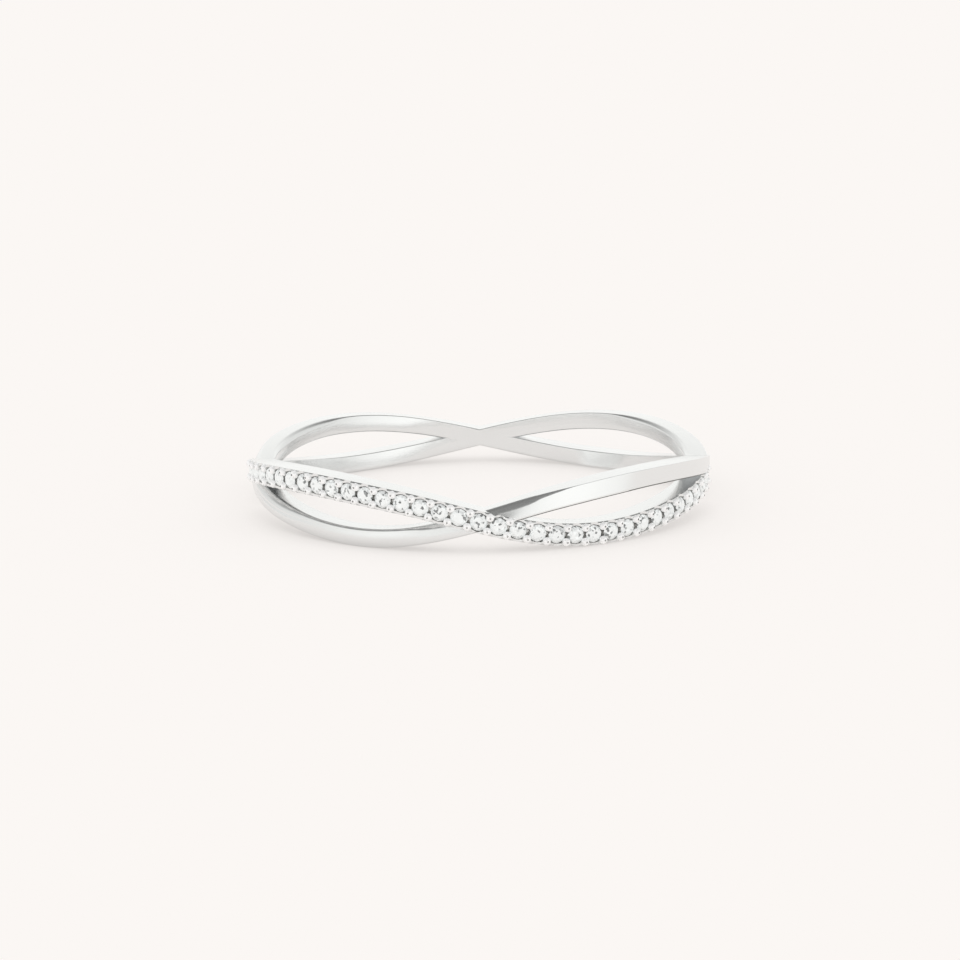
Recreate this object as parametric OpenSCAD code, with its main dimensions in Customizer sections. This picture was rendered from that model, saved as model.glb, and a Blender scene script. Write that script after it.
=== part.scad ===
// Crossover band ring, lying flat on a surface with the finger hole upright.
// Two strands of one casting weave round the finger hole and cross at the front,
// the back and both sides. One is plain and polished all the way round. The other
// carries a row of small round stones over its front half.
// Millimetres. The origin is on the surface, on the axis of the finger hole.
// The front of the ring faces -Y. Angles count from the front towards +X.

/* [Ring] */
// Inside diameter of the finger hole
inner_d = 17.3; // [16.5:0.1:21]
// Radial thickness of the metal
wall = 1.0; // [0.8:0.05:1.4]
// Height of the weave from its lowest edge to its highest, before the dips are added
band_h = 2.54; // [2.4:0.02:3.2]
// How far the front and back crossings sit below the middle height
crossing_drop = 0.15; // [0:0.01:0.25]
// How much steeper the strands cross at the front and back than at the sides
crossing_steepness = 0.065; // [0:0.005:0.2]
// How much deeper each strand hangs where it is low at the front
front_dip = 0.26; // [0:0.01:0.3]
// Angle from the front to the middle of such a dip
dip_angle = 19; // [15:1:25]
// Angle that a dip spans
dip_span = 78; // [70:1:100]
// How much the front is raised so that the ring lies level
front_lift = 0.11; // [0:0.01:0.15]
// Radial step from the lower strand to the one that passes over it
weave_step = 0.1; // [0.06:0.01:0.16]

/* [Strands] */
// Width of the plain polished strand, along the finger
plain_w = 0.74; // [0.6:0.02:0.9]
// Width of the strand that holds the stones
pave_w = 0.93; // [0.9:0.01:1.1]
// Radius of the eased outer edges of the plain strand
plain_ease = 0.13; // [0.05:0.01:0.2]
// Bevel along the outer edges of the strand that holds the stones
pave_ease = 0.04; // [0.03:0.01:0.05]

/* [Stones] */
// Number of stones in the row
stone_count = 35; // [30:1:36]
// Girdle diameter of a stone
stone_d = 0.7; // [0.6:0.01:0.7]
// Angle of the first stone, at the left
row_start = -89; // [-90:0.5:-84]
// Angle of the last stone, at the right
row_end = 79; // [74:0.5:79]
// Extra closeness of the stones at the front crossing, in degrees
row_crowding = 1.9; // [0:0.1:2]
// Depth of the girdles below the outer face of the strand
girdle_depth = 0.08; // [0.06:0.01:0.12]
// Clearance between a stone and the metal
stone_gap = 0.02; // [0.01:0.005:0.03]

/* [Beads] */
// Diameter of the head of a bead
bead_d = 0.27; // [0.2:0.01:0.28]
// Distance of a bead from the middle line of the row
bead_offset = 0.28; // [0.28:0.005:0.3]
// Height of a bead above the girdles
bead_h = 0.14; // [0.1:0.01:0.16]

/* [Hidden] */
function stone_name(i) = str("stone_", i < 10 ? "0" : "", i);
// Sections along a strand, and sides of the round shapes
stations = 96;
seat_sides = 10;
bead_sides = 8;
inner_r = inner_d / 2;
outer_r = inner_r + wall;
// The strands reach this far into the finger hole before it is cut
bore_allowance = 0.15;
stone_r = stone_d / 2;
// Proportions of a stone, as shares of its diameter
crown_share = 0.15;
pavilion_share = 0.42;
girdle_share = 0.03;
// Places of its facet corners, as shares of its radius
table_share = 0.58;
star_share = 0.8;
lower_half_share = 0.3;
// Heights of the table, the girdle's edge and the point, measured from the middle of the girdle
crown_z = stone_d * (crown_share + girdle_share / 2);
girdle_z = stone_d * girdle_share / 2;
culet_z = -stone_d * (pavilion_share + girdle_share / 2);
// A seat is cut this far out, past the face of the strand
seat_top = 2 * girdle_depth;
// Width of a bead's stem and of its top, as shares of its own width
bead_stem_share = 0.8;
bead_top_share = 0.5;
// The widening of the stone strand ends this many degrees past its row
taper = 9;
step = 360 / stations;
pitch = (row_end - row_start) / (stone_count - 1);

// Height of the weave at an angle, from -1 at its lowest to 1 at its highest
function raw_sway(a) = sin(2 * a) + crossing_steepness * sin(4 * a);
sway_peak = max([for (a = [0:step:90]) raw_sway(a)]);
function sway(a) = raw_sway(a) / sway_peak;

// Smooth change from 0 to 1 as x goes from 0 to 1
function ease(x) = let (t = min(1, max(0, x))) t * t * (3 - 2 * t);
function row_share(a) = ease((a - row_start) / taper + 1) * ease((row_end - a) / taper + 1);

// Width, middle height and outer radius of each strand at an angle of -180 to 180
function pave_width(a) = plain_w + (pave_w - plain_w) * row_share(a);
function rise(w) = (band_h - w) / 2;
function level(a) = front_lift * cos(a) - crossing_drop * cos(2 * a);
function dip(a) = abs(a) < dip_span / 2 ? front_dip * (1 + cos(360 * a / dip_span)) / 2 : 0;
function plain_mid(a) = level(a) + rise(plain_w) * sway(a) - dip(a + dip_angle);
function pave_mid(a) = level(a) - rise(pave_width(a)) * sway(a) - dip(a - dip_angle);
function weave(a) = weave_step / 2 * cos(a + 45);
function plain_r(a) = outer_r - weave(a);
function pave_r(a) = outer_r + weave(a);

// The sections of one strand stand half a step from those of the other
plain_angles = [for (i = [0:stations - 1]) -180 + i * step];
pave_angles = [for (a = plain_angles) a + step / 2];
// Height that puts the lowest edge of the strands on the surface
lift = -min(concat(
    [for (a = plain_angles) plain_mid(a) - plain_w / 2],
    [for (a = pave_angles) pave_mid(a) - pave_width(a) / 2]
));

// Slope of the stone strand against the horizontal, in degrees
function pave_slope(a) = atan((pave_mid(a + 1) - pave_mid(a - 1)) / (outer_r * PI / 90));

// Angle of a stone, where stone 1 is at the left and half numbers lie between stones
function stone_angle(i) =
    let (u = 2 * (i - 1) / (stone_count - 1) - 1)
    row_start + pitch * (i - 1) - row_crowding * sin(180 * u);

// Outline of a strand's cross-section, as radius and height from its middle
function section(w, r, e) =
    let (h = w / 2)
    [
        [inner_r - bore_allowance, -h],
        [r - e, -h],
        [r, e - h],
        [r, h - e],
        [r - e, h],
        [inner_r - bore_allowance, h]
    ];

function on_ring(a, r, z) = [r * sin(a), -r * cos(a), z];

// Triangles of a closed tube of n rings with m points each
function loop_faces(n, m) = [
    for (i = [0:n - 1], j = [0:m - 1])
        let (
            next_i = (i + 1) % n,
            next_j = (j + 1) % m,
            p = i * m + j,
            q = i * m + next_j,
            s = next_i * m + next_j,
            t = next_i * m + j
        )
        each [[p, q, s], [p, s, t]]
];

// Turns a shape that points up so that it points out of the strand at an angle
module on_pave(a, r) {
    translate(on_ring(a, r, lift + pave_mid(a)))
        rotate([90, 0, a])
            rotate([0, 0, pave_slope(a)])
                children();
}

module plain_strand() {
    rings = [for (a = plain_angles) section(plain_w, plain_r(a), plain_ease)];
    polyhedron(
        points = [
            for (i = [0:stations - 1], p = rings[i])
                on_ring(plain_angles[i], p[0], lift + plain_mid(plain_angles[i]) + p[1])
        ],
        faces = loop_faces(stations, len(rings[0]))
    );
}

module pave_strand() {
    rings = [for (a = pave_angles) section(pave_width(a), pave_r(a), pave_ease)];
    polyhedron(
        points = [
            for (i = [0:stations - 1], p = rings[i])
                on_ring(pave_angles[i], p[0], lift + pave_mid(pave_angles[i]) + p[1])
        ],
        faces = loop_faces(stations, len(rings[0]))
    );
}

// Pocket for one stone: a cone under it and a straight wall from its girdle outwards
module seat() {
    r = (stone_r + stone_gap) / cos(180 / seat_sides);
    rotate_extrude($fn = seat_sides)
        polygon([
            [0, culet_z - 2 * stone_gap],
            [r, -girdle_z - stone_gap],
            [r, seat_top],
            [0, seat_top]
        ]);
}

// Grain of metal raised between two stones, on a narrower stem
module bead() {
    r = bead_d / 2;
    half = bead_h / 2;
    hull() {
        translate([0, 0, -girdle_depth])
            cylinder(r1 = bead_stem_share * r, r2 = r, h = girdle_depth + half, $fn = bead_sides);
        translate([0, 0, half])
            cylinder(r1 = r, r2 = bead_top_share * r, h = half, $fn = bead_sides);
    }
}

// Cast band: both strands with the seats and beads, and the finger hole through it
module band() {
    color("gainsboro")
        difference() {
            union() {
                difference() {
                    union() {
                        plain_strand();
                        pave_strand();
                    }
                    for (i = [1:stone_count])
                        on_pave(stone_angle(i), pave_r(stone_angle(i)) - girdle_depth)
                            seat();
                }
                for (i = [0:stone_count], side = [-1, 1])
                    on_pave(stone_angle(i + 0.5), pave_r(stone_angle(i + 0.5)) - girdle_depth)
                        translate([0, side * bead_offset, 0])
                            bead();
            }
            // A quarter step keeps the corners of the hole off the strands' own sections
            translate([0, 0, band_h / 2])
                rotate([0, 0, step / 4])
                    cylinder(r = inner_r, h = 2 * band_h, center = true, $fn = stations);
        }
}

// Round brilliant: table, stars, kites, girdle and pavilion, pointing up
module brilliant() {
    table_r = table_share * stone_r;
    star_r = star_share * stone_r;
    half_r = lower_half_share * stone_r;
    // A kite is flat where its height falls evenly along its own direction
    star_z = crown_z - (star_r * cos(22.5) - table_r) * (crown_z - girdle_z) / (stone_r - table_r);
    half_z = culet_z + half_r * cos(22.5) * (-girdle_z - culet_z) / stone_r;
    function ring(n, r, z, turn) = [
        for (k = [0:n - 1])
            let (a = turn + 360 / n * k)
            [r * cos(a), r * sin(a), z]
    ];
    points = concat(
        ring(8, table_r, crown_z, 0),
        ring(8, star_r, star_z, 22.5),
        ring(16, stone_r, girdle_z, 0),
        ring(16, stone_r, -girdle_z, 0),
        ring(8, half_r, half_z, 22.5),
        [[0, 0, culet_z]]
    );
    star = 8;
    top = 16;
    low = 32;
    half = 48;
    culet = 56;
    faces = concat(
        [[7, 6, 5, 4, 3, 2, 1, 0]],
        [
            for (k = [0:7])
                let (
                    after = (k + 1) % 8,
                    before = (k + 7) % 8,
                    near = 2 * k,
                    mid = 2 * k + 1,
                    far = (2 * k + 2) % 16
                )
                each [
                    [after, star + k, k],
                    [star + k, top + near, star + before, k],
                    [top + mid, top + near, star + k],
                    [top + far, top + mid, star + k],
                    [top + mid, low + mid, low + near, top + near],
                    [top + far, low + far, low + mid, top + mid],
                    [low + near, low + mid, half + k],
                    [low + mid, low + far, half + k],
                    [culet, half + before, low + near, half + k]
                ]
        ]
    );
    polyhedron(points = points, faces = faces);
}

module stone(i) {
    color("aliceblue")
        on_pave(stone_angle(i), pave_r(stone_angle(i)) - girdle_depth)
            brilliant();
}

band();
for (i = [1:stone_count]) stone(i);
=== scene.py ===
import math

import bmesh
import bpy
from mathutils import Matrix, Vector


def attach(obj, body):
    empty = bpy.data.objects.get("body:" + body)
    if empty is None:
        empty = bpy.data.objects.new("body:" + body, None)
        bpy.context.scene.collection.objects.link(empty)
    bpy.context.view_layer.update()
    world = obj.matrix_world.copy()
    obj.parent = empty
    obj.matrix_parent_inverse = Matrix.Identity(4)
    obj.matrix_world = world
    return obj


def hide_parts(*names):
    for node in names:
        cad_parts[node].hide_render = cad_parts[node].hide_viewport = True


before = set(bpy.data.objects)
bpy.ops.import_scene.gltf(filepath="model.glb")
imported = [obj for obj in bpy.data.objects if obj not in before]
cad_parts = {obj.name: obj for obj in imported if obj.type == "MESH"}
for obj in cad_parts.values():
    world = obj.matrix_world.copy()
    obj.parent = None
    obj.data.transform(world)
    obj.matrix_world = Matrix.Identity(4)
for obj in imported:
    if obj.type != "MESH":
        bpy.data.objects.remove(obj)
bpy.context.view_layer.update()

# Sizes of the ring in millimetres and degrees, as in the part's source.
# Angles count from the front of the ring towards +X.
MM = 0.001
INNER_R = 17.3 / 2
WALL = 1.0
OUTER_R = INNER_R + WALL
BAND_H = 2.54
CROSSING_DROP = 0.15
CROSSING_STEEPNESS = 0.065
FRONT_DIP = 0.26
DIP_ANGLE = 19.0
DIP_SPAN = 78.0
FRONT_LIFT = 0.11
WEAVE_STEP = 0.1
PLAIN_W = 0.74
SET_W = 0.93
TAPER = 9.0
CAD_STEP = 360 / 96

STONE_COUNT = 35
STONE_R = 0.35
ROW_START = -89.0
ROW_END = 79.0
ROW_CROWDING = 1.9
GIRDLE_DEPTH = 0.08
STONE_GAP = 0.02
CULET_DEPTH = 0.3

# The beads, rounder and wider than the part's plain grains
BEAD_R = 0.165
BEAD_OFFSET = 0.28
BEAD_RISE = 0.15

# Which way each strand goes at the left of the front crossing: the plain one is low there
PLAIN_SIDE = 1.0
SET_SIDE = -1.0

# How the maker finished the strands round the ring, as degrees from the front and an amount.
# Filing rounds the upper outer edge and rounding the upper inner one, crowning bulges both faces,
# and a lean tips the outer face up.
PLAIN_FILING = [(-180, 0.1), (-110, 0.3), (-88, 1.0), (-62, 1.0), (-54, 0.85), (-46, 0.55), (-38, 0.42),
                (-22, 0.38), (-14, 0.7), (-4, 0.9), (7, 0.9), (14, 0.5), (20, 0.18), (26, 0.0), (80, 0.0),
                (120, 0.1), (180, 0.1)]
PLAIN_ROUNDING = [(-180, 0.08), (-160, 0.08), (-142, 0.12), (-128, 0.8), (-112, 0.9), (-92, 0.3), (-60, 0.1),
                  (90, 0.1), (180, 0.08)]
PLAIN_CROWNING = [(-180, 0.0), (-168, 0.3), (-155, 1.0), (-140, 1.0), (-115, 0.5), (-90, 0.5), (-70, 1.0),
                  (-25, 1.0), (0, 0.3), (60, 0.0), (115, 0.2), (160, 0.2), (180, 0.0)]
PLAIN_LEAN = [(-180, 0), (-166, 0), (-154, -8), (-142, -8), (-127, 0), (-90, 0), (-60, 2), (-30, 2),
              (-5, 6), (5, 11), (34, 10), (46, 1), (90, 0), (128, 0), (139, -10), (145, -10), (153, 0),
              (180, 0)]
SET_FILING = [(-180, 0.1), (-100, 0.1), (-90, 0.22), (80, 0.22), (90, 0.1), (180, 0.1)]
SET_ROUNDING = [(-180, 0.08), (-100, 0.12), (-60, 0.1), (70, 0.1), (105, 0.8), (125, 0.8), (140, 0.15),
                (180, 0.08)]
SET_CROWNING = [(-180, 0.0), (-160, 0.6), (-115, 0.6), (-95, 0.0), (95, 0.0), (115, 0.5), (160, 0.5),
                (180, 0.0)]
SET_LEAN = [(-180, 0), (-174, 0), (-150, -8), (-120, -8), (-100, 0), (180, 0)]
# What an amount of 1 comes to in millimetres, and the most that a strand leans in degrees
FULL_FILING = 0.34
FULL_ROUNDING = 0.3
CROWN_BULGE = 0.035
MOST_LEAN = 20
# The edges start nearly sharp above and eased below
LEAST_EASE = 0.012
LOW_EASE = 0.1
# The plain strand's outer lower edge gets painted shade where it is higher than this
UNDERSIDE_SHADE_FROM = 0.85

# How finely the shapes are drawn: steps round the ring, sides of turned shapes, and the bend in degrees
# from which an edge shows as sharp
STATIONS = 480
FINE_SIDES = 32
COARSE_SIDES = 16
DIMPLE_SIDES = 10
SHARP_ANGLE = 32

# The studio. The camera's height above the horizon as seen from the ring, in degrees
CAMERA_ELEVATION = 11.384
# How the tent glows round the ring, as degrees from straight behind it towards +X and an amount
TENT_PANELS = [(-180, 1.08), (-165, 1.0), (-150, 1.0), (-135, 1.12), (-120, 1.09), (-105, 1.0),
               (-90, 0.94), (-60, 0.88), (-45, 0.83), (-30, 0.86), (-17, 1.08), (0, 1.09), (20, 1.08),
               (38, 0.92), (60, 0.87), (80, 0.9), (90, 0.93), (105, 1.08), (120, 1.16), (140, 1.22),
               (160, 1.14), (180, 1.08)]
# The dark roof: the height of its middle in front of the ring, the radius of its dark part and of its
# soft rim, all in degrees, and the light that is left
ROOF_LEVEL = 87
ROOF_CORE = 49
ROOF_RIM = 59
ROOF_LEFT = 0.26
# Round dark things in front of the tent: the camera's hole, what is above it, and a lamp stand at the left
# behind the ring. Each has its turn from straight behind, its height, the radius of its dark part and of
# its soft rim in degrees, and the light that is left.
DARK_THINGS = [
    (180, CAMERA_ELEVATION, 7, 10, 0.04),
    (180, 31, 7, 13, 0.45),
    (-57, 31, 5, 14, 0.5),
]


def raw_sway(a):
    """Height of the weave at an angle in degrees, before it is scaled to run from -1 to 1."""
    return math.sin(math.radians(2 * a)) + CROSSING_STEEPNESS * math.sin(math.radians(4 * a))


SWAY_PEAK = max(raw_sway(i * CAD_STEP) for i in range(25))


def smooth_step(x):
    """Smooth change from 0 to 1 as x goes from 0 to 1."""
    t = min(1, max(0, x))
    return t * t * (3 - 2 * t)


def strand_width(a, full_width):
    """Width of a strand at an angle: the plain width, and the full width along the row of stones."""
    share = smooth_step((a - ROW_START) / TAPER + 1) * smooth_step((ROW_END - a) / TAPER + 1)
    return PLAIN_W + (full_width - PLAIN_W) * share


def strand_middle(a, side, width):
    """Height of the middle of a strand at an angle, before the ring is set on the surface."""
    sway = side * (BAND_H - width) / 2 * raw_sway(a) / SWAY_PEAK
    level = FRONT_LIFT * math.cos(math.radians(a)) - CROSSING_DROP * math.cos(math.radians(2 * a))
    from_dip = min(1, abs(a + side * DIP_ANGLE) / (DIP_SPAN / 2))
    return sway + level - FRONT_DIP * (1 + math.cos(math.pi * from_dip)) / 2


# Height that puts the lowest edge of the strands on the surface
LIFT = -min(
    strand_middle(i / 4, side, strand_width(i / 4, full_width)) - strand_width(i / 4, full_width) / 2
    for i in range(-720, 720)
    for side, full_width in ((PLAIN_SIDE, PLAIN_W), (SET_SIDE, SET_W))
)


def add(tree, kind, inputs=(), **settings):
    """Adds a node to a tree with its settings. An input is a value, a socket, or a node,
    which stands for its first output. Inputs come by name, or else by order."""
    node = tree.nodes.new(kind)
    for name, value in settings.items():
        setattr(node, name, value)
    named = inputs.items() if isinstance(inputs, dict) else enumerate(inputs)
    for key, value in named:
        if isinstance(value, bpy.types.Node):
            value = value.outputs[0]
        if isinstance(value, bpy.types.NodeSocket):
            tree.links.new(value, node.inputs[key])
        else:
            node.inputs[key].default_value = value
    return node


MATH = "ShaderNodeMath"
VECTOR = "ShaderNodeVectorMath"
RANGE = "ShaderNodeMapRange"
NOISE = "ShaderNodeTexNoise"


def new_group(name, inputs, outputs):
    """An empty node group with its sockets, given as name to default value, or to socket type."""
    tree = bpy.data.node_groups.new(name, "GeometryNodeTree")
    for label, value in inputs.items():
        if isinstance(value, str):
            tree.interface.new_socket(label, in_out="INPUT", socket_type=value)
            continue
        number = "NodeSocketInt" if isinstance(value, int) else "NodeSocketFloat"
        tree.interface.new_socket(label, in_out="INPUT", socket_type=number).default_value = value
    for label, socket_type in outputs.items():
        tree.interface.new_socket(label, in_out="OUTPUT", socket_type=socket_type)
    return tree, add(tree, "NodeGroupInput").outputs, add(tree, "NodeGroupOutput").inputs


def strand_rule():
    """Node group for where a strand runs: from an angle round the ring in radians to the height of
    its middle, its width, and how far its outer face stands out of the ring's own radius."""
    tree, given, result = new_group(
        "strand rule",
        {
            "Angle": 0.0, "Side": PLAIN_SIDE, "Full width": PLAIN_W, "Plain width": PLAIN_W,
            "Band height": BAND_H, "Crossing drop": CROSSING_DROP, "Steepness": CROSSING_STEEPNESS,
            "Front lift": FRONT_LIFT, "Front dip": FRONT_DIP, "Dip angle": math.radians(DIP_ANGLE),
            "Dip span": math.radians(DIP_SPAN), "Weave step": WEAVE_STEP,
            "Row start": math.radians(ROW_START), "Row end": math.radians(ROW_END),
            "Taper": math.radians(TAPER), "Lift": LIFT,
        },
        {"Middle": "NodeSocketFloat", "Width": "NodeSocketFloat", "Stand out": "NodeSocketFloat"},
    )
    # The strand widens towards its row of stones and narrows past it
    before = add(tree, MATH, [given["Row start"], given["Taper"]], operation="SUBTRACT")
    after = add(tree, MATH, [given["Row end"], given["Taper"]], operation="ADD")
    widening = add(tree, RANGE, [given["Angle"], before, given["Row start"], 0.0, 1.0],
                   interpolation_type="SMOOTHSTEP")
    narrowing = add(tree, RANGE, [given["Angle"], given["Row end"], after, 1.0, 0.0],
                    interpolation_type="SMOOTHSTEP")
    share = add(tree, MATH, [widening, narrowing], operation="MULTIPLY")
    extra = add(tree, MATH, [given["Full width"], given["Plain width"]], operation="SUBTRACT")
    width = add(tree, MATH, [extra, share, given["Plain width"]], operation="MULTIPLY_ADD")
    # It sways twice up and down round the ring
    twice = add(tree, MATH, [given["Angle"], 2.0], operation="MULTIPLY")
    four_times = add(tree, MATH, [given["Angle"], 4.0], operation="MULTIPLY")
    slow = add(tree, MATH, [twice], operation="SINE")
    quick = add(tree, MATH, [four_times], operation="SINE")
    sway = add(tree, MATH, [quick, given["Steepness"], slow], operation="MULTIPLY_ADD")
    room = add(tree, MATH, [given["Band height"], width], operation="SUBTRACT")
    rise = add(tree, MATH, [room, 0.5 / SWAY_PEAK], operation="MULTIPLY")
    turned = add(tree, MATH, [rise, given["Side"]], operation="MULTIPLY")
    swayed = add(tree, MATH, [turned, sway, given["Lift"]], operation="MULTIPLY_ADD")
    crossing = add(tree, MATH, [twice], operation="COSINE")
    drop = add(tree, MATH, [crossing, given["Crossing drop"]], operation="MULTIPLY")
    frontness = add(tree, MATH, [given["Angle"]], operation="COSINE")
    raised = add(tree, MATH, [frontness, given["Front lift"], swayed], operation="MULTIPLY_ADD")
    level = add(tree, MATH, [raised, drop], operation="SUBTRACT")
    # It hangs deeper where it is low at the front
    from_dip = add(tree, MATH, [given["Side"], given["Dip angle"], given["Angle"]], operation="MULTIPLY_ADD")
    half_span = add(tree, MATH, [given["Dip span"], 0.5], operation="MULTIPLY")
    away = add(tree, MATH, [from_dip], operation="ABSOLUTE")
    across_dip = add(tree, MATH, [away, half_span], operation="DIVIDE")
    inside_dip = add(tree, MATH, [across_dip, 1.0], operation="MINIMUM")
    dip_turn = add(tree, MATH, [inside_dip, math.pi], operation="MULTIPLY")
    dip_cosine = add(tree, MATH, [dip_turn], operation="COSINE")
    dip_wave = add(tree, MATH, [dip_cosine, 0.5, 0.5], operation="MULTIPLY_ADD")
    dip = add(tree, MATH, [dip_wave, given["Front dip"]], operation="MULTIPLY")
    middle = add(tree, MATH, [level, dip], operation="SUBTRACT")
    # It passes over the other strand on one half of the ring and under it on the other
    eighth = add(tree, MATH, [given["Angle"], math.radians(45)], operation="ADD")
    half_step = add(tree, MATH, [given["Weave step"], -0.5], operation="MULTIPLY")
    weave = add(tree, MATH, [eighth], operation="COSINE")
    over = add(tree, MATH, [weave, half_step], operation="MULTIPLY")
    stand_out = add(tree, MATH, [over, given["Side"]], operation="MULTIPLY")
    tree.links.new(middle.outputs[0], result["Middle"])
    tree.links.new(width.outputs[0], result["Width"])
    tree.links.new(stand_out.outputs[0], result["Stand out"])
    return tree


def hand_curve(tree, angle, points, low, high):
    """Value drawn round the ring, from given (degrees, value) points between a low and a high value."""
    turn = add(tree, MATH, [angle, 0.5 / math.pi, 0.5], operation="MULTIPLY_ADD")
    curve = add(tree, "ShaderNodeFloatCurve", {"Value": turn})
    knots = curve.mapping.curves[0].points
    while len(knots) < len(points):
        knots.new(0.5, 0.5)
    for knot, (degrees, value) in zip(knots, points):
        knot.location = (degrees / 360 + 0.5, (value - low) / (high - low))
        knot.handle_type = "AUTO_CLAMPED"
    curve.mapping.update()
    return add(tree, RANGE, {"Value": curve, "To Min": low, "To Max": high})


def sweep_strand(name, rule, metal, filing, rounding, crowning, leaning):
    """Tree that carries a section round the ring and bends it to the strand's rule. The section's
    points hold their place as x from the outer face and y from the middle, in millimetres, and how far
    they move where the strand is fully filed, rounded or crowned."""
    tree, given, result = new_group(
        name,
        {"Geometry": "NodeSocketGeometry", "Stations": 360, "Side": PLAIN_SIDE, "Full width": PLAIN_W,
         "Ring radius": OUTER_R, "Wall": WALL},
        {"Geometry": "NodeSocketGeometry"},
    )
    circle = add(tree, "GeometryNodeCurvePrimitiveCircle",
                 {"Resolution": given["Stations"], "Radius": given["Ring radius"]})
    section = add(tree, "GeometryNodeMeshToCurve", [given["Geometry"]])
    tube = add(tree, "GeometryNodeCurveToMesh", {"Curve": circle, "Profile Curve": section})
    place = add(tree, "ShaderNodeSeparateXYZ", [add(tree, "GeometryNodeInputPosition")])
    front = add(tree, MATH, [place.outputs["Y"], -1.0], operation="MULTIPLY")
    angle = add(tree, MATH, [place.outputs["X"], front], operation="ARCTAN2")
    at = add(tree, "GeometryNodeGroup", node_tree=rule)
    for label in ("Side", "Full width"):
        tree.links.new(given[label], at.inputs[label])
    tree.links.new(angle.outputs[0], at.inputs["Angle"])
    kept = [add(tree, "GeometryNodeInputNamedAttribute", {"Name": label}, data_type="FLOAT_VECTOR")
            for label in ("outline", "filed", "rounded", "crowned")]
    moved = kept[0]
    for way, amounts in zip(kept[1:], (filing, rounding, crowning)):
        amount = hand_curve(tree, angle, amounts, 0, 1)
        moved = add(tree, VECTOR, [way, amount, moved], operation="MULTIPLY_ADD")
    point = add(tree, "ShaderNodeSeparateXYZ", [moved])
    # A lean slides the higher points of the section inwards
    lean = add(tree, MATH, [hand_curve(tree, angle, leaning, -MOST_LEAN, MOST_LEAN)], operation="RADIANS")
    slope = add(tree, MATH, [lean], operation="TANGENT")
    slide = add(tree, MATH, [slope, point.outputs["Y"]], operation="MULTIPLY")
    depth = add(tree, MATH, [point.outputs["X"], slide], operation="SUBTRACT")
    # The inner wall stays on the finger hole, and the outer face moves by the whole weave
    inset = add(tree, MATH, [point.outputs["X"], given["Wall"]], operation="DIVIDE")
    share = add(tree, MATH, [inset, 1.0], operation="ADD")
    woven = add(tree, MATH, [at.outputs["Stand out"], share, depth], operation="MULTIPLY_ADD")
    radius = add(tree, MATH, [given["Ring radius"], woven], operation="ADD")
    stretch = add(tree, MATH, [at.outputs["Width"], given["Full width"]], operation="DIVIDE")
    height = add(tree, MATH, [point.outputs["Y"], stretch, at.outputs["Middle"]], operation="MULTIPLY_ADD")
    sine = add(tree, MATH, [angle], operation="SINE")
    cosine = add(tree, MATH, [angle], operation="COSINE")
    across = add(tree, MATH, [sine, radius], operation="MULTIPLY")
    ahead = add(tree, MATH, [cosine, radius], operation="MULTIPLY")
    back = add(tree, MATH, [ahead, -1.0], operation="MULTIPLY")
    bent = add(tree, "ShaderNodeCombineXYZ", [across, back, height])
    strand = add(tree, "GeometryNodeSetPosition", {"Geometry": tube, "Position": bent})
    done = add(tree, "GeometryNodeSetMaterial", {"Geometry": strand, "Material": metal})
    tree.links.new(done.outputs[0], result["Geometry"])
    return tree


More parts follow.
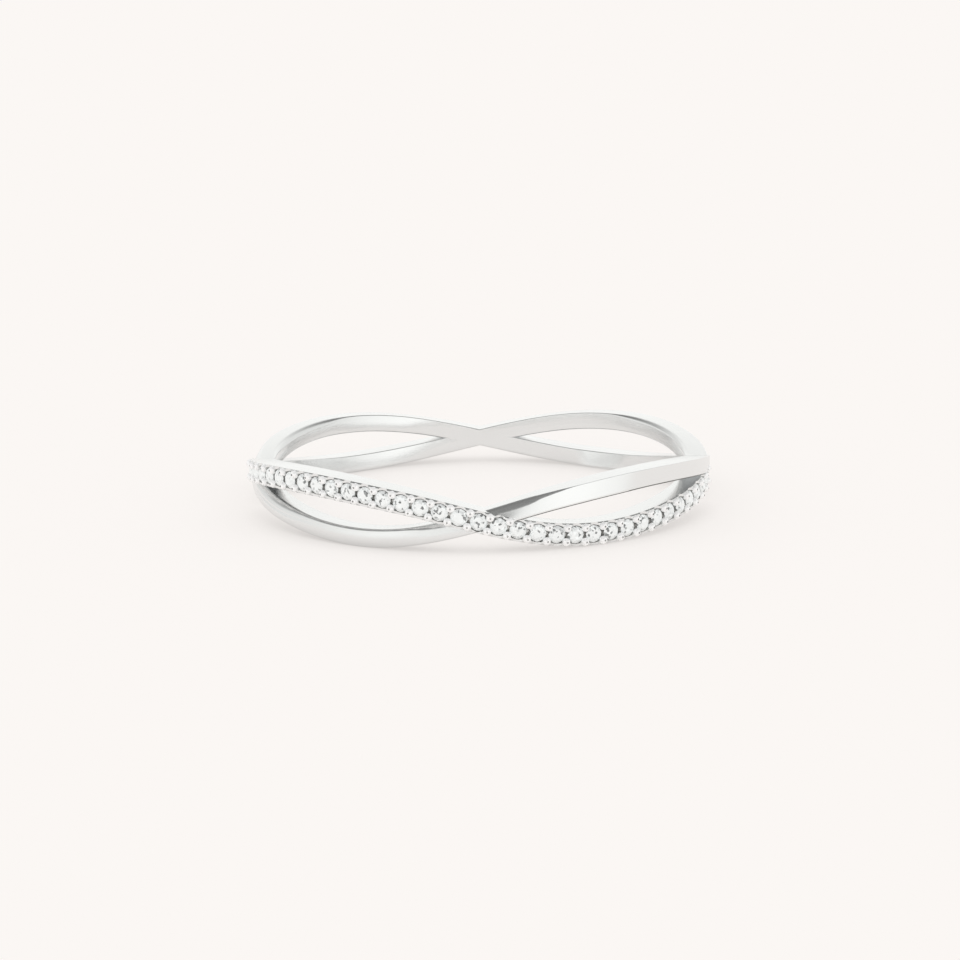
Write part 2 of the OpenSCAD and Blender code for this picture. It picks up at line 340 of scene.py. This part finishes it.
def repeat_on_row(rule, metal):
    """Tree that repeats a turned shape along the row of stones, with its axis out of the strand.
    A whole First number stands on a stone, and a half number stands between two stones."""
    tree, given, result = new_group(
        "repeat on row",
        {"Geometry": "NodeSocketGeometry", "Count": STONE_COUNT, "First": 0.0, "Files": 1,
         "Side offset": 0.0, "Depth": 0.0, "Row start": math.radians(ROW_START),
         "Row end": math.radians(ROW_END), "Crowding": math.radians(ROW_CROWDING),
         "Ring radius": OUTER_R, "Small angle": math.radians(1)},
        {"Geometry": "NodeSocketGeometry"},
    )
    total = add(tree, MATH, [given["Count"], given["Files"]], operation="MULTIPLY")
    points = add(tree, "GeometryNodePoints", {"Count": total})
    index = add(tree, "GeometryNodeInputIndex")
    shared = add(tree, MATH, [index, given["Files"]], operation="DIVIDE")
    in_file = add(tree, MATH, [shared], operation="FLOOR")
    place = add(tree, MATH, [in_file, given["First"]], operation="ADD")
    # Files of one stand on the middle line, and files of two stand on both sides of it
    file_number = add(tree, MATH, [index, given["Files"]], operation="MODULO")
    doubled = add(tree, MATH, [file_number, 2.0, 1.0], operation="MULTIPLY_ADD")
    way = add(tree, MATH, [doubled, given["Files"]], operation="SUBTRACT")
    aside = add(tree, MATH, [way, given["Side offset"]], operation="MULTIPLY")
    # The stones stand closer together at the front
    along = add(tree, MATH, [place, STONE_COUNT - 1.0], operation="DIVIDE")
    length = add(tree, MATH, [given["Row end"], given["Row start"]], operation="SUBTRACT")
    even = add(tree, MATH, [along, length, given["Row start"]], operation="MULTIPLY_ADD")
    turn = add(tree, MATH, [along, 2 * math.pi, -math.pi], operation="MULTIPLY_ADD")
    wave = add(tree, MATH, [turn], operation="SINE")
    squeeze = add(tree, MATH, [wave, given["Crowding"]], operation="MULTIPLY")
    angle = add(tree, MATH, [even, squeeze], operation="SUBTRACT")
    spots = []
    for shift in (-1.0, 0.0, 1.0):
        a = add(tree, MATH, [given["Small angle"], shift, angle], operation="MULTIPLY_ADD")
        at = add(tree, "GeometryNodeGroup", {"Angle": a, "Side": SET_SIDE, "Full width": SET_W},
                 node_tree=rule)
        radius = add(tree, MATH, [given["Ring radius"], at.outputs["Stand out"]], operation="ADD")
        sine = add(tree, MATH, [a], operation="SINE")
        cosine = add(tree, MATH, [a], operation="COSINE")
        across = add(tree, MATH, [sine, radius], operation="MULTIPLY")
        ahead = add(tree, MATH, [cosine, radius], operation="MULTIPLY")
        back = add(tree, MATH, [ahead, -1.0], operation="MULTIPLY")
        spots.append(add(tree, "ShaderNodeCombineXYZ", [across, back, at.outputs["Middle"]]))
        if shift == 0.0:
            level = add(tree, "ShaderNodeCombineXYZ", [across, back, 0.0])
    outward = add(tree, VECTOR, [level], operation="NORMALIZE")
    tangent = add(tree, VECTOR, [spots[2], spots[0]], operation="SUBTRACT")
    square = add(tree, VECTOR, [outward, tangent], operation="CROSS_PRODUCT")
    upward = add(tree, VECTOR, [square], operation="NORMALIZE")
    turned = add(tree, "FunctionNodeAxesToRotation", [outward, tangent],
                 primary_axis="Z", secondary_axis="X")
    inset = add(tree, VECTOR, {0: outward, "Scale": given["Depth"]}, operation="SCALE")
    sideways = add(tree, VECTOR, {0: upward, "Scale": aside.outputs[0]}, operation="SCALE")
    low = add(tree, VECTOR, [spots[1], inset], operation="SUBTRACT")
    spot = add(tree, VECTOR, [low, sideways], operation="ADD")
    placed = add(tree, "GeometryNodeSetPosition", {"Geometry": points, "Position": spot})
    copies = add(tree, "GeometryNodeInstanceOnPoints",
                 {"Points": placed, "Instance": given["Geometry"], "Rotation": turned})
    real = add(tree, "GeometryNodeRealizeInstances", [copies])
    done = add(tree, "GeometryNodeSetMaterial", {"Geometry": real, "Material": metal})
    tree.links.new(done.outputs[0], result["Geometry"])
    return tree


def strand_section(name, width, low_ease, face_steps, ease_steps):
    """Closed outline of a strand's section as a mesh of edges. It is drawn with flat faces and nearly
    sharp upper edges, and holds how far each point moves where it is filed, rounded or crowned."""
    half = width / 2
    outline = []
    filed = []
    rounded = []

    def corner(middle_x, middle_y, ease, first_turn, steps, filing=0.0, rounding=0.0):
        """Adds an eased corner. Filing and rounding say how much larger it grows."""
        turns = [math.radians(first_turn + 90 * i / steps) for i in range(steps + 1)]
        signs = (round(math.cos(turns[0]) + math.cos(turns[-1])),
                 round(math.sin(turns[0]) + math.sin(turns[-1])))
        for t in turns:
            outline.append((middle_x + ease * math.cos(t), middle_y + ease * math.sin(t)))
            grown = (math.cos(t) - signs[0], math.sin(t) - signs[1])
            filed.append((filing * grown[0], filing * grown[1]))
            rounded.append((rounding * grown[0], rounding * grown[1]))

    def face(x, steps):
        """Adds the points of a face between the last corner and the next one, which is added later."""
        for _ in range(1, steps):
            outline.append((x, None))
            filed.append(None)
            rounded.append(None)

    inner = LEAST_EASE - WALL
    corner(inner, half - LEAST_EASE, LEAST_EASE, 90, 2 * ease_steps, rounding=FULL_ROUNDING)
    face(-WALL, face_steps)
    corner(low_ease - WALL, low_ease - half, low_ease, 180, ease_steps)
    corner(-low_ease, low_ease - half, low_ease, 270, ease_steps)
    face(0, face_steps)
    corner(-LEAST_EASE, half - LEAST_EASE, LEAST_EASE, 0, 2 * ease_steps, filing=FULL_FILING)
    # Faces are spaced evenly between the corners at their ends
    for i, place in enumerate(outline):
        if place[1] is None:
            last = i - 1
            after = next(k for k in range(i, len(outline)) if outline[k][1] is not None)
            for layer in (outline, filed, rounded):
                ends = layer[last], layer[after]
                share = 1 / (after - last)
                layer[i] = tuple(e0 + (e1 - e0) * share for e0, e1 in zip(*ends))
    mesh = bpy.data.meshes.new(name)
    count = len(outline)
    mesh.from_pydata([(x, y, 0) for x, y in outline], [(i, (i + 1) % count) for i in range(count)], [])
    crowned = [(-CROWN_BULGE * (2 * x / WALL + 1) * (y / half) ** 2, 0) for x, y in outline]
    layers = {"outline": outline, "filed": filed, "rounded": rounded, "crowned": crowned}
    for label, places in layers.items():
        layer = mesh.attributes.new(label, "FLOAT_VECTOR", "POINT")
        layer.data.foreach_set("vector", [c for x, y in places for c in (x, y, 0)])
    return mesh


def turned_mesh(name, profile, sides):
    """Closed mesh turned from a profile of radius and height that starts and ends on its axis."""
    mesh = bpy.data.meshes.new(name)
    shape = bmesh.new()
    ends = [shape.verts.new((0, 0, profile[0][1])), shape.verts.new((0, 0, profile[-1][1]))]
    rings = []
    for r, z in profile[1:-1]:
        turns = [2 * math.pi * k / sides for k in range(sides)]
        rings.append([shape.verts.new((r * math.cos(t), r * math.sin(t), z)) for t in turns])
    for k in range(sides):
        after = (k + 1) % sides
        shape.faces.new((ends[0], rings[0][after], rings[0][k]))
        shape.faces.new((ends[1], rings[-1][k], rings[-1][after]))
        for low, high in zip(rings, rings[1:]):
            shape.faces.new((low[k], low[after], high[after], high[k]))
    bmesh.ops.recalc_face_normals(shape, faces=shape.faces)
    shape.to_mesh(mesh)
    shape.free()
    return mesh


def built(name, mesh, tree, **inputs):
    """Object with a plain mesh made by a tree from another mesh, with the tree's inputs by name."""
    source = bpy.data.objects.new(name, mesh)
    bpy.context.scene.collection.objects.link(source)
    nodes = source.modifiers.new("make", "NODES")
    nodes.node_group = tree
    for socket in tree.interface.items_tree:
        key = socket.name.lower().replace(" ", "_")
        if socket.in_out == "INPUT" and key in inputs:
            nodes[socket.identifier] = inputs.pop(key)
    assert not inputs, inputs
    return settled(source)


def settled(source):
    """The same object with its modifiers made part of its mesh and its faces pointing outwards."""
    bpy.context.view_layer.update()
    seen = source.evaluated_get(bpy.context.evaluated_depsgraph_get())
    mesh = bpy.data.meshes.new_from_object(seen)
    source.modifiers.clear()
    source.data = mesh
    shape = bmesh.new()
    shape.from_mesh(mesh)
    bmesh.ops.recalc_face_normals(shape, faces=shape.faces)
    shape.to_mesh(mesh)
    shape.free()
    return source


def combined(base, other, operation):
    """The base with the other one joined to it or cut from it. The other one is used up."""
    step = base.modifiers.new("combine", "BOOLEAN")
    step.operation = operation
    step.solver = "MANIFOLD"
    step.material_mode = "TRANSFER"
    step.object = other
    result = settled(base)
    bpy.data.objects.remove(other)
    return result


def linear(hex_colour):
    """Linear colour, with an alpha of 1, from an sRGB hex value."""
    shares = [int(hex_colour[i:i + 2], 16) / 255 for i in (1, 3, 5)]
    return [c / 12.92 if c <= 0.04045 else ((c + 0.055) / 1.055) ** 2.4 for c in shares] + [1.0]


def metal_shader(name, colour, painted_corner_glow):
    """New metal material with a painted glow in its tight corners, as its node tree and its shader."""
    material = bpy.data.materials.new(name)
    material.use_nodes = True
    tree = material.node_tree
    shader = tree.nodes["Principled BSDF"]
    shader.inputs["Metallic"].default_value = 1.0
    shader.inputs["Base Color"].default_value = linear(colour)
    # Painted light: a glow in tight corners, stronger towards +X, stands in for the light that bounces round
    # them and keeps them from going black
    corner_reach = 0.8 * MM
    side_reach = 7 * MM
    place = add(tree, "ShaderNodeSeparateXYZ", [add(tree, "ShaderNodeTexCoord").outputs["Object"]])
    most = add(tree, RANGE, {"Value": place.outputs["X"], "From Min": -side_reach, "From Max": side_reach,
                             "To Min": 0.2 * painted_corner_glow, "To Max": painted_corner_glow})
    open_share = add(tree, "ShaderNodeAmbientOcclusion", {"Distance": corner_reach}, samples=4)
    glow = add(tree, RANGE, {"Value": open_share.outputs["AO"], "From Min": 0.0, "From Max": 0.45,
                             "To Min": most, "To Max": 0.0})
    shader.inputs["Emission Color"].default_value = linear(colour)
    tree.links.new(glow.outputs[0], shader.inputs["Emission Strength"])
    return material, tree, shader


def rhodium_plated_white_gold():
    """White gold, cast, polished on a felt wheel and plated with rhodium: a cool bright mirror, a little
    soft, with faint waves left by the wheel."""
    material, tree, shader = metal_shader("rhodium_plated_white_gold", "#EAEBEB", 0.12)
    place = add(tree, "ShaderNodeTexCoord").outputs["Object"]
    # The wheel leaves waves about 1.5 mm long, and its grit leaves marks about 0.04 mm apart
    waves = add(tree, NOISE, {"Vector": place, "Scale": 1 / (1.5 * MM), "Detail": 1.0})
    marks = add(tree, NOISE, {"Vector": place, "Scale": 1 / (0.04 * MM), "Detail": 2.0})
    gloss = add(tree, RANGE, {"Value": marks, "To Min": 0.2, "To Max": 0.27})
    bump = add(tree, "ShaderNodeBump", {"Height": waves, "Strength": 0.06, "Distance": 0.01 * MM})
    tree.links.new(gloss.outputs[0], shader.inputs["Roughness"])
    tree.links.new(bump.outputs[0], shader.inputs["Normal"])
    return material


def rhodium_plated_beads():
    """The same metal where the beading tool has pressed it into round grains over the stones. The tool's
    cup leaves fine pits, which scatter most of the light, so a grain glows white all over."""
    material, tree, shader = metal_shader("rhodium_plated_beads", "#FEFEFE", 0.12)
    shader.inputs["Metallic"].default_value = 0.25
    place = add(tree, "ShaderNodeTexCoord").outputs["Object"]
    # The pits are about 0.03 mm wide
    pits = add(tree, NOISE, {"Vector": place, "Scale": 1 / (0.03 * MM), "Detail": 2.0})
    gloss = add(tree, RANGE, {"Value": pits, "To Min": 0.3, "To Max": 0.5})
    tree.links.new(gloss.outputs[0], shader.inputs["Roughness"])
    return material


def bright_cut_seats():
    """The seats under and around the stones, cut with burs and a polished graver: clean steps with fine
    chatter from the cutter, coloured darker than the plated faces as painted shade in the recesses."""
    material, tree, shader = metal_shader("bright_cut_seats", "#C4C4C2", 0.05)
    place = add(tree, "ShaderNodeTexCoord").outputs["Object"]
    # The bur's teeth leave marks about 0.05 mm apart
    chatter = add(tree, NOISE, {"Vector": place, "Scale": 1 / (0.05 * MM), "Detail": 1.0})
    gloss = add(tree, RANGE, {"Value": chatter, "To Min": 0.15, "To Max": 0.3})
    tree.links.new(gloss.outputs[0], shader.inputs["Roughness"])
    return material


def filed_white_gold():
    """The same metal along the lower outer edge of the plain strand's high parts, coloured dark grey as
    painted shade where the edge looks down, which draws a thin grey line."""
    material, tree, shader = metal_shader("filed_white_gold", "#7C7C7A", 0.0)
    place = add(tree, "ShaderNodeTexCoord").outputs["Object"]
    # Its roughness varies in strokes about 0.06 mm apart
    strokes = add(tree, NOISE, {"Vector": place, "Scale": 1 / (0.06 * MM), "Detail": 1.0})
    gloss = add(tree, RANGE, {"Value": strokes, "To Min": 0.3, "To Max": 0.45})
    tree.links.new(gloss.outputs[0], shader.inputs["Roughness"])
    return material


def cut_topaz():
    """Colourless topaz, cut and polished. Light goes in through the crown, turns round in the facets
    below and comes back towards the eye from all over the studio, so the stone is a mosaic of white
    and darker patches that changes with each stone's turn. Part of the darker patches are painted
    reflection."""
    material = bpy.data.materials.new("cut_topaz")
    material.use_nodes = True
    tree = material.node_tree
    shader = tree.nodes["Principled BSDF"]
    shader.inputs["Base Color"].default_value = linear("#FCFDFF")
    shader.inputs["Transmission Weight"].default_value = 1.0
    shader.inputs["IOR"].default_value = 1.62
    shader.inputs["Roughness"].default_value = 0.0
    # Seen from outside, the lower facets are a mosaic of mirrors about 0.09 mm wide, each set its own way
    place = add(tree, "ShaderNodeTexCoord").outputs["Object"]
    mosaic = add(tree, "ShaderNodeTexVoronoi", {"Vector": place, "Scale": 1 / (0.09 * MM)})
    chance = add(tree, "ShaderNodeSeparateColor", [mosaic.outputs["Color"]])
    centred = add(tree, VECTOR, [mosaic.outputs["Color"], (0.5, 0.5, 0.5)], operation="SUBTRACT")
    facing = add(tree, "ShaderNodeNewGeometry").outputs["Normal"]
    most_turn = (0.65, 0.65, 0.65)
    turned = add(tree, VECTOR, [centred, most_turn, facing], operation="MULTIPLY_ADD")
    way = add(tree, VECTOR, [turned], operation="NORMALIZE")
    # Painted reflection: looked at straight on, one facet in six is darkened in its colour, standing for the
    # dark around the camera mirrored in it
    aslant = add(tree, "ShaderNodeLayerWeight").outputs["Facing"]
    straight = add(tree, RANGE, {"Value": aslant, "From Min": 0.15, "From Max": 0.4,
                                 "To Min": 1.0, "To Max": 0.25})
    picked = add(tree, RANGE, {"Value": chance.outputs["Blue"], "From Min": 0.82, "From Max": 0.86,
                               "To Min": 0.0, "To Max": 0.7})
    lost = add(tree, MATH, [straight, picked], operation="MULTIPLY")
    left = add(tree, MATH, [1.0, lost], operation="SUBTRACT")
    white = linear("#FCFFFF")
    shade = add(tree, VECTOR, {0: white[:3], "Scale": left.outputs[0]}, operation="SCALE")
    returned = add(tree, "ShaderNodeBsdfAnisotropic", {"Color": shade, "Roughness": 0.04, "Normal": way})
    # The finest facets run together into an even white
    blended = add(tree, "ShaderNodeBsdfDiffuse", {"Color": shade})
    glitter = add(tree, "ShaderNodeMixShader", [0.68, returned, blended])
    mixed = add(tree, "ShaderNodeMixShader", [0.97, shader, glitter])
    tree.links.new(mixed.outputs[0], tree.nodes["Material Output"].inputs["Surface"])
    return material


def opal_acrylic():
    """The studio's table: white opal acrylic, lit from above and by its own glow from below, which keeps
    the shadows on it faint. Polished metal close to it sees less of the glow, so it mirrors a deeper shadow."""
    material = bpy.data.materials.new("opal_acrylic")
    material.use_nodes = True
    tree = material.node_tree
    shader = tree.nodes["Principled BSDF"]
    white = linear("#FBF7F4")
    sight = add(tree, "ShaderNodeLightPath")
    mirrored = sight.outputs["Is Glossy Ray"]
    lit = add(tree, RANGE, {"Value": mirrored, "To Min": 0.63, "To Max": 0.3})
    rest = add(tree, MATH, [1.0, lit], operation="SUBTRACT")
    # Painted contact shadow: right under the ring, where little of the sky is open, the table's glow and
    # colour are darkened
    contact_reach = 1.1 * MM
    open_share = add(tree, "ShaderNodeAmbientOcclusion", {"Distance": contact_reach}, samples=6)
    contact = add(tree, RANGE, {"Value": open_share.outputs["AO"], "From Min": 0.3, "From Max": 0.95,
                                "To Min": 0.86, "To Max": 1.0})
    lit_here = add(tree, MATH, [lit, contact], operation="MULTIPLY")
    rest_here = add(tree, MATH, [rest, contact], operation="MULTIPLY")
    dimmed = add(tree, VECTOR, {0: white[:3], "Scale": rest_here.outputs[0]}, operation="SCALE")
    tree.links.new(dimmed.outputs[0], shader.inputs["Base Color"])
    tree.links.new(lit_here.outputs[0], shader.inputs["Emission Strength"])
    shader.inputs["Emission Color"].default_value = white
    shader.inputs["Roughness"].default_value = 1.0
    shader.inputs["Specular IOR Level"].default_value = 0.0
    return material


def weld_corners(mesh, closest):
    """Joins corners that lie on each other where cuts meet, and takes out the faces without area there."""
    shape = bmesh.new()
    shape.from_mesh(mesh)
    bmesh.ops.dissolve_degenerate(shape, dist=closest, edges=shape.edges)
    shape.to_mesh(mesh)
    shape.free()


def radial_normals(mesh):
    """Points the shading of the finger hole's wall straight at the ring's axis, so that both strands
    mirror as one surface where they cross."""
    least_inward = 0.9995
    wall_reach = (INNER_R + 0.004) * MM
    normals = [(0.0, 0.0, 0.0)] * len(mesh.loops)
    for face in mesh.polygons:
        outward = Vector((face.center.x, face.center.y, 0)).normalized()
        if face.normal.dot(outward) < -least_inward:
            for loop in face.loop_indices:
                spot = mesh.vertices[mesh.loops[loop].vertex_index].co
                if math.hypot(spot.x, spot.y) < wall_reach:
                    normals[loop] = tuple(-Vector((spot.x, spot.y, 0)).normalized())
    mesh.normals_split_custom_set(normals)


def paint_underside_shade(mesh, lowest, underside_shade_metal):
    """Gives the metal with painted shade to the outer lower edge of a strand wherever that is higher than a
    height.
    """
    least_down = 0.3
    least_out = 0.1
    mesh.materials.append(underside_shade_metal)
    for face in mesh.polygons:
        outward = Vector((face.center.x, face.center.y, 0)).normalized()
        looks_down = face.normal.z < -least_down
        looks_out = face.normal.dot(outward) > least_out
        if face.center.z > lowest and looks_down and looks_out:
            face.material_index = len(mesh.materials) - 1


def cast_band(metal, bead_metal, seat_shade_metal, underside_shade_metal):
    """The whole casting: both strands, the seats cut into them, and the beads raised between the seats."""
    rule = strand_rule()
    plain_sweep = sweep_strand("sweep plain strand", rule, metal,
                               PLAIN_FILING, PLAIN_ROUNDING, PLAIN_CROWNING, PLAIN_LEAN)
    set_sweep = sweep_strand("sweep stone strand", rule, metal,
                             SET_FILING, SET_ROUNDING, SET_CROWNING, SET_LEAN)
    plain_section = strand_section("plain_section", PLAIN_W, LOW_EASE, 16, 9)
    plain = built("cast_band", plain_section, plain_sweep, stations=STATIONS, side=PLAIN_SIDE,
                  full_width=PLAIN_W)
    # Painted shade: where the plain strand's high outer lower edge looks down, it takes a dark grey metal
    paint_underside_shade(plain.data, UNDERSIDE_SHADE_FROM, underside_shade_metal)
    set_section = strand_section("set_section", SET_W, LOW_EASE, 10, 6)
    stone_strand = built("stone_strand", set_section, set_sweep, stations=STATIONS, side=SET_SIDE,
                         full_width=SET_W)
    # The seats, drill holes and dimples take the darker seat metal: painted shade in the recesses
    cut = repeat_on_row(rule, seat_shade_metal)
    # A shallow round notch across the rims beside each stone, between its beads
    notch_r = 0.3
    notch_half = 0.6
    notch_depth = 0.08
    notch = turned_mesh("notch", [
        (0, -notch_half),
        (notch_r, -notch_half),
        (notch_r, notch_half),
        (0, notch_half),
    ], FINE_SIDES)
    lying = Matrix.Rotation(math.radians(90), 4, "X")
    notch.transform(Matrix.Translation((0, 0, notch_r - notch_depth)) @ lying)
    notches = built("notches", notch, repeat_on_row(rule, metal), count=STONE_COUNT)
    stone_strand = combined(stone_strand, notches, "DIFFERENCE")
    band = combined(plain, stone_strand, "UNION")
    # The seats, each with a small step round the stone's edge
    seat_r = STONE_R + STONE_GAP
    seat_step = 0.03
    seat_top = 0.2
    seat = turned_mesh("seat", [
        (0, -CULET_DEPTH - 2 * STONE_GAP),
        (seat_r, -STONE_GAP),
        (seat_r, seat_step),
        (seat_r + seat_step, GIRDLE_DEPTH),
        (seat_r + seat_step, seat_top),
        (0, seat_top),
    ], FINE_SIDES)
    seats = built("seats", seat, cut, count=STONE_COUNT, depth=GIRDLE_DEPTH)
    band = combined(band, seats, "DIFFERENCE")
    # A drill hole between two stones, which parts their beads
    drill_r = 0.17
    drill = turned_mesh("drill", [
        (0, -0.26),
        (0.07, -0.24),
        (drill_r, 0.0),
        (drill_r, 0.1),
        (0, 0.1),
    ], COARSE_SIDES)
    drilled = built("drilled", drill, cut, count=STONE_COUNT - 1, first=0.5)
    band = combined(band, drilled, "DIFFERENCE")
    # The beads, each a dome on a narrower stem
    bead_root = -0.25
    stem_share = 0.65
    dome_steps = 7
    quarter = [math.radians(90 * k / dome_steps) for k in range(dome_steps)]
    dome = [(BEAD_R * math.cos(t), BEAD_RISE + BEAD_R * (math.sin(t) - 1)) for t in quarter]
    stem = [(0, bead_root), (stem_share * BEAD_R, bead_root)]
    bead = turned_mesh("bead", stem + dome + [(0, BEAD_RISE)], COARSE_SIDES)
    beads = built("beads", bead, repeat_on_row(rule, bead_metal), count=STONE_COUNT + 1, first=-0.5,
                  files=2, side_offset=BEAD_OFFSET)
    band = combined(band, beads, "UNION")
    # The beading tool's point leaves a dimple in each bead
    dimple_r = 0.04
    dimple_depth = 0.07
    dimple = turned_mesh("dimple", [
        (0, BEAD_RISE - dimple_depth),
        (dimple_r, BEAD_RISE - 0.05),
        (dimple_r + 0.005, 0.3),
        (0, 0.3),
    ], DIMPLE_SIDES)
    dimples = built("dimples", dimple, cut, count=STONE_COUNT + 1, first=-0.5, files=2,
                    side_offset=BEAD_OFFSET)
    band = combined(band, dimples, "DIFFERENCE")
    mesh = band.data
    weld_corners(mesh, 0.00001)
    mesh.transform(Matrix.Scale(MM, 4))
    mesh.shade_smooth()
    mesh.set_sharp_from_angle(angle=math.radians(SHARP_ANGLE))
    radial_normals(mesh)
    return band


def studio_floor():
    floor_r = 2.5
    shape = bmesh.new()
    bmesh.ops.create_circle(shape, cap_ends=True, segments=64, radius=floor_r)
    mesh = bpy.data.meshes.new("floor")
    shape.to_mesh(mesh)
    shape.free()
    floor = bpy.data.objects.new("floor", mesh)
    floor.data.materials.append(opal_acrylic())
    bpy.context.scene.collection.objects.link(floor)
    return floor


def way_to(turn, rise):
    """Direction from degrees of turn from straight behind the ring towards +X, and of height."""
    turn = math.radians(turn)
    rise = math.radians(rise)
    return math.sin(turn) * math.cos(rise), math.cos(turn) * math.cos(rise), math.sin(rise)


def studio_world():
    """A white light tent with a dark roof and a dark camera hole. Polished metal and stones see those,
    and the floor is lit evenly."""
    world = bpy.data.worlds.new("light_tent")
    bpy.context.scene.world = world
    world.use_nodes = True
    tree = world.node_tree
    tree.nodes.clear()
    way = add(tree, "ShaderNodeTexCoord").outputs["Generated"]
    parts = add(tree, "ShaderNodeSeparateXYZ", [way])
    height = add(tree, MATH, [parts.outputs["Z"]], operation="ARCSINE")
    # Brightness against height above the horizon, in degrees
    quarter_turn = math.radians(90)
    sky = add(tree, RANGE, {"Value": height, "From Min": -quarter_turn, "From Max": quarter_turn})
    ramp = add(tree, "ShaderNodeValToRGB", [sky])
    stops = [(-90, 0.9), (0, 0.95), (4, 1.0), (90, 1.0)]
    blue_share = 0.98
    knots = ramp.color_ramp.elements
    while len(knots) < len(stops):
        knots.new(0.5)
    for knot, (degrees, level) in zip(knots, stops):
        knot.position = (degrees + 90) / 180
        knot.color = (level, level, level * blue_share, 1)
    # Its panels glow unevenly round the ring
    round_tent = add(tree, MATH, [parts.outputs["X"], parts.outputs["Y"]], operation="ARCTAN2")
    panels = hand_curve(tree, round_tent, TENT_PANELS, 0.6, 1.4)
    # A dark roof hangs over the ring and the camera, and leans forward
    under = add(tree, VECTOR, [way, way_to(180, ROOF_LEVEL)], operation="DOT_PRODUCT").outputs["Value"]
    from_roof = add(tree, MATH, [under], operation="ARCCOSINE")
    roof = add(tree, RANGE, {"Value": from_roof, "From Min": math.radians(ROOF_CORE),
                             "From Max": math.radians(ROOF_RIM), "To Min": ROOF_LEFT, "To Max": 1.0})
    shaded = add(tree, MATH, [panels, roof], operation="MULTIPLY")
    for turn, rise, core, rim, left in DARK_THINGS:
        near = add(tree, VECTOR, [way, way_to(turn, rise)], operation="DOT_PRODUCT").outputs["Value"]
        apart = add(tree, MATH, [near], operation="ARCCOSINE")
        dark = add(tree, RANGE, {"Value": apart, "From Min": math.radians(core),
                                 "From Max": math.radians(rim), "To Min": left, "To Max": 1.0})
        shaded = add(tree, MATH, [shaded, dark], operation="MULTIPLY")
    dimmed = add(tree, VECTOR, {0: ramp.outputs[0], "Scale": shaded.outputs[0]}, operation="SCALE")
    sight = add(tree, "ShaderNodeLightPath")
    mirrored = add(tree, MATH, [sight.outputs["Is Glossy Ray"], sight.outputs["Is Transmission Ray"]],
                   operation="MAXIMUM")
    even = add(tree, "ShaderNodeRGB")
    even.outputs[0].default_value = linear("#FFFFFF")
    colour = add(tree, "ShaderNodeMix", data_type="RGBA")
    tree.links.new(mirrored.outputs[0], colour.inputs["Factor"])
    tree.links.new(even.outputs[0], colour.inputs[6])
    tree.links.new(dimmed.outputs[0], colour.inputs[7])
    light = add(tree, "ShaderNodeBackground", {"Color": colour.outputs[2], "Strength": 1.0})
    add(tree, "ShaderNodeOutputWorld", [light])
    world.cycles.sampling_method = "NONE"


def studio_camera():
    """The photograph's view: from the front and a little above, with a long lens."""
    elevation = math.radians(CAMERA_ELEVATION)
    yaw = math.radians(-0.045)
    roll = math.radians(0.699)
    distance = 125.0 * MM
    focal_px = 2956.2
    aim_px = (-0.01, 10.26)
    frame_px = 960
    centre = Vector((0, 0, LIFT * MM))
    ahead = math.cos(elevation)
    back = Vector((-math.sin(yaw) * ahead, -math.cos(yaw) * ahead, math.sin(elevation)))
    right = Vector((math.cos(yaw), -math.sin(yaw), 0))
    up = back.cross(right)
    rolled_right = right * math.cos(roll) - up * math.sin(roll)
    rolled_up = right * math.sin(roll) + up * math.cos(roll)
    turn = Matrix((rolled_right, rolled_up, back)).transposed()
    # The ring's centre lies this far from the middle of the picture
    aim = Matrix.Rotation(-aim_px[1] / focal_px, 3, "X") @ Matrix.Rotation(aim_px[0] / focal_px, 3, "Y")
    data = bpy.data.cameras.new("camera")
    data.sensor_width = 36.0
    data.lens = focal_px / frame_px * data.sensor_width
    data.clip_start = 0.005
    data.clip_end = 20.0
    camera = bpy.data.objects.new("camera", data)
    camera.matrix_world = Matrix.Translation(centre + back * distance) @ (turn @ aim).to_4x4()
    bpy.context.scene.collection.objects.link(camera)
    bpy.context.scene.camera = camera


band = cast_band(rhodium_plated_white_gold(), rhodium_plated_beads(), bright_cut_seats(), filed_white_gold())
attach(band, "root")
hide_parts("band")

topaz = cut_topaz()
for i in range(1, STONE_COUNT + 1):
    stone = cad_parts["stone_%02d" % i]
    stone.material_slots[0].material = topaz

studio_floor()
studio_world()
studio_camera()
bpy.context.scene.view_settings.view_transform = "Standard"
